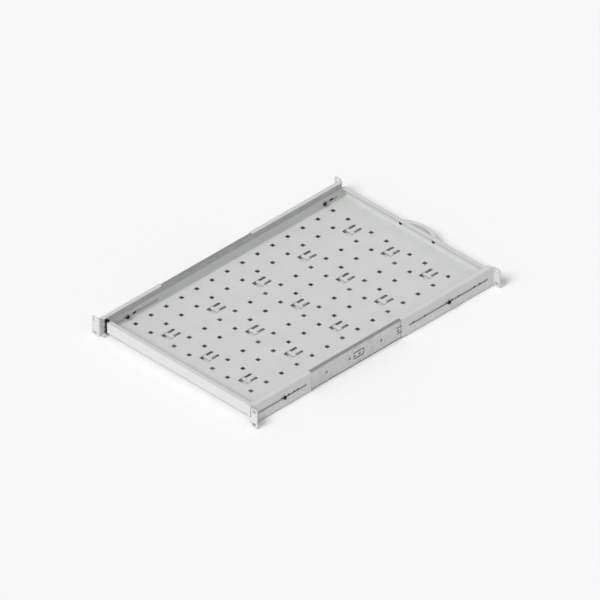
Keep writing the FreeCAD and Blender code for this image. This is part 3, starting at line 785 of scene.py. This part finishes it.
def model_cage(node, ball_x):
    """The right-hand cage of a slide: a U-shaped strip with a pocket for each ball."""
    sizes = bpy.context.scene.rack_shelf_slides
    low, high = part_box(node)
    inner_x = high.x - sizes.cage_sheet
    cage = add_block(node.replace("_cage", "_race_cage"), (inner_x, low.y, low.z), high)
    with editing(cage):
        for level in (low.z + sizes.cage_sheet, high.z - sizes.cage_sheet):
            bpy.ops.mesh.select_all(action="SELECT")
            bpy.ops.mesh.bisect(plane_co=(0, 0, level), plane_no=(0, 0, 1))
        pick(cage, "faces", lambda face: face.normal.x < -SQUARE
             and abs(face.calc_center_median().z) > high.z - sizes.cage_sheet)
        bpy.ops.mesh.extrude_region_move(TRANSFORM_OT_translate={"value": (low.x - inner_x, 0, 0)})
        pick(cage, "edges", lambda edge: all(end.co.x > high.x - sizes.cage_sheet / 2
                                             and abs(end.co.z) > high.z - sizes.cage_sheet / 2
                                             for end in edge.verts))
        bevel(sizes.cage_bend, BEND_SEGMENTS)
    pitch = (high.y - low.y) / sizes.balls_per_race
    pocket = sizes.ball + 2 * sizes.pocket_gap
    pockets = add_cylinder("pockets", pocket, 2 * low.z, 2 * high.z, POCKET_CORNERS)
    settle(pockets, at=(ball_x, low.y + pitch / 2, 0))
    repeat(pockets, sizes.balls_per_race, (0, pitch, 0))
    combine(cage, pockets)
    discard(pockets)
    smooth(cage)
    return cage


def model_ball_rows(node, cage):
    """The right-hand balls of a cage: an upper and a lower row."""
    sizes = bpy.context.scene.rack_shelf_slides
    cage_low, cage_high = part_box(cage)
    pitch = (cage_high.y - cage_low.y) / sizes.balls_per_race
    low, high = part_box(node)
    bpy.ops.object.select_all(action="DESELECT")
    bpy.ops.mesh.primitive_ico_sphere_add(subdivisions=BALL_SUBDIVISIONS, radius=sizes.ball / 2)
    rows = named(node.replace("_balls", "_ball_rows"))
    settle(rows, at=((low.x + high.x) / 2, cage_low.y + pitch / 2, low.z + sizes.ball / 2))
    repeat(rows, sizes.balls_per_race, (0, pitch, 0))
    repeat(rows, 2, (0, 0, high.z - low.z - sizes.ball))
    activate(rows)
    bpy.ops.object.shade_smooth()
    return rows


def model_buffer(node):
    """The right-hand buffer of a slide: a rubber block with grooves across the face that is struck."""
    sizes = bpy.context.scene.rack_shelf_fixings
    low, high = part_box(node)
    block = add_block(node.replace("slide_buffer", "grooved_buffer"), low, high)
    with editing(block):
        pick(block, "edges", lambda edge: min(end.co.y for end in edge.verts) < (low.y + high.y) / 2)
        bevel(sizes.buffer_edge, BEND_SEGMENTS)
    grooves = add_cylinder("grooves", sizes.buffer_groove, -span(node, X), span(node, X), GROOVE_CORNERS)
    step = span(node, Z) / (BUFFER_GROOVES + 1)
    settle(grooves, turn=FACE_RIGHT, at=((low.x + high.x) / 2, low.y, low.z + step))
    repeat(grooves, BUFFER_GROOVES, (0, 0, step))
    combine(block, grooves)
    discard(grooves)
    smooth(block)
    return block


def place_on_both_sides(master, node, label, places, facing_out):
    """Copies a fixing to each place of a two-sided node, turned outwards or inwards.
    A place is a name, how far out it lies, and its depth; the height is the node's own."""
    height = middle(node, Z)
    for side, way in SIDES.items():
        for spot, reach, depth in places:
            piece = copy_of(master, "_".join(filter(None, (label, spot, side))))
            turn = FACE_RIGHT if (way > 0) == facing_out else FACE_LEFT
            settle(piece, turn=turn, at=(way * reach, depth, height))
            stand_for(piece, node)
    discard(master)


def place_pair(master, node_stem):
    """A right-hand piece stands for its node, and its mirrored twin for the left-hand one."""
    twin = copy_of(master, master.name.replace("right", "left"))
    settle(twin, mirror=True)
    stand_for(master, f"{node_stem}_right")
    stand_for(twin, f"{node_stem}_left")


# Stage

def direction(azimuth, elevation):
    """The way from the shelf to something that stands round it; azimuth 0 is in front."""
    return Vector((math.sin(azimuth) * math.cos(elevation), -math.cos(azimuth) * math.cos(elevation),
                   math.sin(elevation)))


def lay_floor(settings):
    bpy.ops.object.select_all(action="DESELECT")
    level = CAD_BOX[0][Z] - settings.floor_gap
    bpy.ops.mesh.primitive_plane_add(size=settings.floor_size, location=(0, 0, level))
    floor = named("floor")
    material, *_ = plain_material("pale_floor", Roughness=FLOOR_ROUGHNESS, Base_Color=(*settings.floor, 1))
    floor.data.materials.append(material)


def light_stage(scene, settings):
    world = scene.world or bpy.data.worlds.new("studio")
    scene.world = world
    world.use_nodes = True
    tree = world.node_tree
    tree.nodes.clear()
    height = add_node(tree, "ShaderNodeSeparateXYZ",
                      {"Vector": add_node(tree, "ShaderNodeTexCoord").outputs["Generated"]}).outputs["Z"]
    sky = add_node(tree, "ShaderNodeBackground",
                   {"Strength": spread(tree, height, 0, 1, settings.sky_low, settings.sky_high)})
    sky.inputs["Color"].default_value = (1, 1, 1, 1)
    add_node(tree, "ShaderNodeOutputWorld", {"Surface": sky.outputs["Background"]})
    towards = direction(settings.key_azimuth, settings.key_elevation)
    bpy.ops.object.light_add(type="SUN", location=towards * LAMP_DISTANCE)
    key = named("key_lamp")
    key.rotation_euler = towards.to_track_quat("Z", "Y").to_euler()
    key.data.energy = settings.key
    key.data.angle = settings.key_softness


def set_camera(scene, settings):
    bpy.ops.object.camera_add()
    camera = named("picture_camera")
    camera.data.lens = settings.lens
    distance = settings.picture_width * settings.lens / camera.data.sensor_width
    camera.data.clip_start, camera.data.clip_end = distance / CLIP_FACTOR, distance * CLIP_FACTOR
    back = direction(settings.azimuth, settings.elevation)
    camera.location = Vector(settings.aim) + back * distance
    camera.rotation_euler = back.to_track_quat("Z", "Y").to_euler()
    scene.camera = camera


# Operators

class RACK_SHELF_OT_coated_sheet(bpy.types.Operator):
    """Coat the tray, the handle and the brackets"""
    bl_idname = "rack_shelf.coated_sheet"
    bl_label = "Coated Sheet Metal"

    def execute(self, context):
        for node in COATED_NODES:
            dress(frame["nodes"][node], slot_of(node))
        return {"FINISHED"}


class RACK_SHELF_OT_slide_members(bpy.types.Operator):
    """Finish the three members of each slide"""
    bl_idname = "rack_shelf.slide_members"
    bl_label = "Slide Members"

    def execute(self, context):
        for node in MEMBER_NODES:
            dress(frame["nodes"][node], slot_of(node))
        return {"FINISHED"}


class RACK_SHELF_OT_ball_cages(bpy.types.Operator):
    """Model the ball cages of both slides"""
    bl_idname = "rack_shelf.ball_cages"
    bl_label = "Ball Cages"

    def execute(self, context):
        for race in ("outer", "inner"):
            place_pair(model_cage(f"{race}_cage_right", middle(f"{race}_balls_right", X)), f"{race}_cage")
        return {"FINISHED"}


class RACK_SHELF_OT_ball_rows(bpy.types.Operator):
    """Model the rows of balls in both slides"""
    bl_idname = "rack_shelf.ball_rows"
    bl_label = "Ball Rows"

    def execute(self, context):
        for race in ("outer", "inner"):
            place_pair(model_ball_rows(f"{race}_balls_right", f"{race}_cage_right"), f"{race}_balls")
        return {"FINISHED"}


class RACK_SHELF_OT_buffers(bpy.types.Operator):
    """Model the rubber buffers at the closed end of the slides"""
    bl_idname = "rack_shelf.buffers"
    bl_label = "Buffers"

    def execute(self, context):
        place_pair(model_buffer("slide_buffer_right"), "slide_buffer")
        return {"FINISHED"}


class RACK_SHELF_OT_clamp_fixings(bpy.types.Operator):
    """Model the clamp screws and washers in the brackets' slots"""
    bl_idname = "rack_shelf.clamp_fixings"
    bl_label = "Clamp Screws and Washers"

    def execute(self, context):
        sizes = context.scene.rack_shelf_fixings
        for end in ("front", "rear"):
            screws, washers = f"{end}_clamp_screws", f"{end}_clamp_washers"
            tip, head_top = side_reach(screws)
            under, seat = side_reach(washers)
            depth = middle(screws, Y)
            screw = model_screw("clamp_screw", span(screws, Z), head_top - seat,
                                sizes.screw_shank, sizes.screw_pitch, seat - tip)
            place_on_both_sides(screw, screws, f"{end}_clamp_screw", [("", seat, depth)], True)
            washer = model_washer("clamp_washer", span(washers, Z),
                                  sizes.screw_shank + 2 * sizes.washer_bore_gap, seat - under)
            place_on_both_sides(washer, washers, f"{end}_clamp_washer", [("", under, depth)], True)
        return {"FINISHED"}


class RACK_SHELF_OT_tray_fixings(bpy.types.Operator):
    """Model the bolts, washers and nuts that hold the tray to the slides"""
    bl_idname = "rack_shelf.tray_fixings"
    bl_label = "Tray Bolts, Washers and Nuts"

    def execute(self, context):
        sizes = context.scene.rack_shelf_fixings
        head_top, tip = side_reach("tray_bolts")
        seat, wall = side_reach("tray_washers")
        nut_seat, nut_top = side_reach("tray_nuts")
        depths = dict(zip(("front", "rear"), end_depths("tray_bolts", span("tray_bolts", Z))))

        def places(reach):
            return [(end, reach, depth) for end, depth in depths.items()]

        bolt = model_screw("tray_bolt", span("tray_bolts", Z), seat - head_top,
                           sizes.screw_shank, sizes.screw_pitch, tip - seat)
        place_on_both_sides(bolt, "tray_bolts", "tray_bolt", places(seat), False)
        washer = model_washer("tray_washer", span("tray_washers", Z),
                              sizes.screw_shank + 2 * sizes.washer_bore_gap, wall - seat)
        place_on_both_sides(washer, "tray_washers", "tray_washer", places(wall), False)
        nut = model_nut("tray_nut", span("tray_nuts", Z), sizes.screw_shank, nut_top - nut_seat)
        place_on_both_sides(nut, "tray_nuts", "tray_nut", places(nut_seat), True)
        return {"FINISHED"}


class RACK_SHELF_OT_handle_screws(bpy.types.Operator):
    """Model the screws that hold the handle, with their heads inside the tray"""
    bl_idname = "rack_shelf.handle_screws"
    bl_label = "Handle Screws"

    def execute(self, context):
        sizes = context.scene.rack_shelf_fixings
        node = "handle_screws"
        low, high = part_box(node)
        head = high.z - low.z
        seat = high.y - sizes.handle_head
        master = model_screw("handle_screw", head, sizes.handle_head,
                             sizes.handle_shank, sizes.handle_pitch, seat - low.y)
        for side, way in SIDES.items():
            screw = copy_of(master, f"handle_screw_{side}")
            settle(screw, turn=FACE_REAR, at=(way * (high.x - head / 2), seat, middle(node, Z)))
            stand_for(screw, node)
        discard(master)
        return {"FINISHED"}


class RACK_SHELF_OT_stage(bpy.types.Operator):
    """Set the floor, the light and the camera"""
    bl_idname = "rack_shelf.stage"
    bl_label = "Stage"

    def execute(self, context):
        settings = context.scene.rack_shelf_stage
        context.scene.view_settings.view_transform = "Standard"
        lay_floor(settings)
        light_stage(context.scene, settings)
        set_camera(context.scene, settings)
        return {"FINISHED"}


OPERATORS = (RACK_SHELF_OT_coated_sheet, RACK_SHELF_OT_slide_members, RACK_SHELF_OT_ball_cages,
             RACK_SHELF_OT_ball_rows, RACK_SHELF_OT_buffers, RACK_SHELF_OT_clamp_fixings,
             RACK_SHELF_OT_tray_fixings, RACK_SHELF_OT_handle_screws, RACK_SHELF_OT_stage)
SETTINGS = {"rack_shelf_fixings": FixingSizes, "rack_shelf_slides": SlideSizes,
            "rack_shelf_colours": FinishColours, "rack_shelf_stage": StageSettings}


class RACK_SHELF_PT_build(bpy.types.Panel):
    """Lists the steps of the build and their settings"""
    bl_idname = "RACK_SHELF_PT_build"
    bl_label = "Sliding Rack Shelf"
    bl_space_type = "VIEW_3D"
    bl_region_type = "UI"
    bl_category = "Rack Shelf"

    def draw(self, context):
        for operator in OPERATORS:
            self.layout.operator(operator.bl_idname)
        for name, group in SETTINGS.items():
            box = self.layout.box()
            box.label(text=group.__doc__)
            for setting in group.__annotations__:
                box.prop(getattr(context.scene, name), setting)


CLASSES = (*SETTINGS.values(), *OPERATORS, RACK_SHELF_PT_build)


def register():
    for kind in CLASSES:
        bpy.utils.register_class(kind)
    for name, group in SETTINGS.items():
        setattr(bpy.types.Scene, name, PointerProperty(type=group))


def unregister():
    for name in SETTINGS:
        delattr(bpy.types.Scene, name)
    for kind in reversed(CLASSES):
        bpy.utils.unregister_class(kind)


def main():
    register()
    bpy.ops.rack_shelf.coated_sheet()
    bpy.ops.rack_shelf.slide_members()
    bpy.ops.rack_shelf.ball_cages()
    bpy.ops.rack_shelf.ball_rows()
    bpy.ops.rack_shelf.buffers()
    bpy.ops.rack_shelf.clamp_fixings()
    bpy.ops.rack_shelf.tray_fixings()
    bpy.ops.rack_shelf.handle_screws()
    bpy.ops.rack_shelf.stage()


if __name__ == "__main__":
    main()
